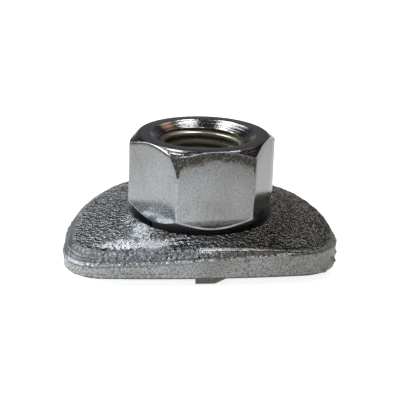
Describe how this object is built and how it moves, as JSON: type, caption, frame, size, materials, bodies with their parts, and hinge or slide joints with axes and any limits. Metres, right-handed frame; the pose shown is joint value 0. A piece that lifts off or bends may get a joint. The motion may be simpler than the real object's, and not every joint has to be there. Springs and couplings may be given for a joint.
{
  "type": "wheel nut",
  "caption": "Hexagon wheel nut with a conical seat, held captive and free to turn in a half-round forged clamp plate with one long curved clamping edge.",
  "frame": {"origin": "on the thread axis, in the plane of the clamp plate's underside", "axes": "+Z along the thread axis towards the free end of the nut, -Y towards the plate's long clamping edge, +X along that edge"},
  "size_m": [0.0615, 0.0552, 0.0279],
  "materials": {
    "bright_zinc": "machined and bright zinc plated",
    "blasted_zinc": "forged, shot blasted and zinc plated, pebbled skin"
  },
  "bodies": {
    "clamp_plate": {"clamp_plate": "blasted_zinc"},
    "nut": {"nut": "bright_zinc"}
  },
  "joints": [
    {"name": "nut_turn", "type": "hinge", "parent": "clamp_plate", "child": "nut", "pos_m": [0, 0, 0], "axis": [0, 0, 1], "continuous": true}
  ]
}
